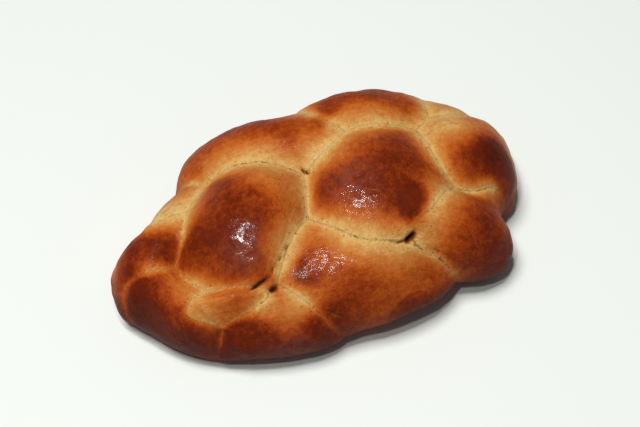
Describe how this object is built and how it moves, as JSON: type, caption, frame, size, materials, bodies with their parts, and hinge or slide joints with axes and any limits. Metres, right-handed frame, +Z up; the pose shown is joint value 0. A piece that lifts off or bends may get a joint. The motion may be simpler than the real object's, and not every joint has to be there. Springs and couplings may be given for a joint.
{
  "type": "braided loaf",
  "caption": "Small braided white loaf with a glossy brown crust, plaited from strands and baked as one piece, flat underneath.",
  "frame": {"origin": "on the surface that the loaf rests on, under the middle of its bounding box", "axes": "+X along the loaf towards its narrower end, +Y across it, +Z up"},
  "size_m": [0.2256, 0.1424, 0.0617],
  "materials": {
    "crust": "egg-washed baked crust: reddish-brown on the tops of the lobes, amber on their flanks and pale cream in the seams, satin to glossy"
  },
  "bodies": {
    "root": {"loaf": "crust"}
  },
  "joints": []
}
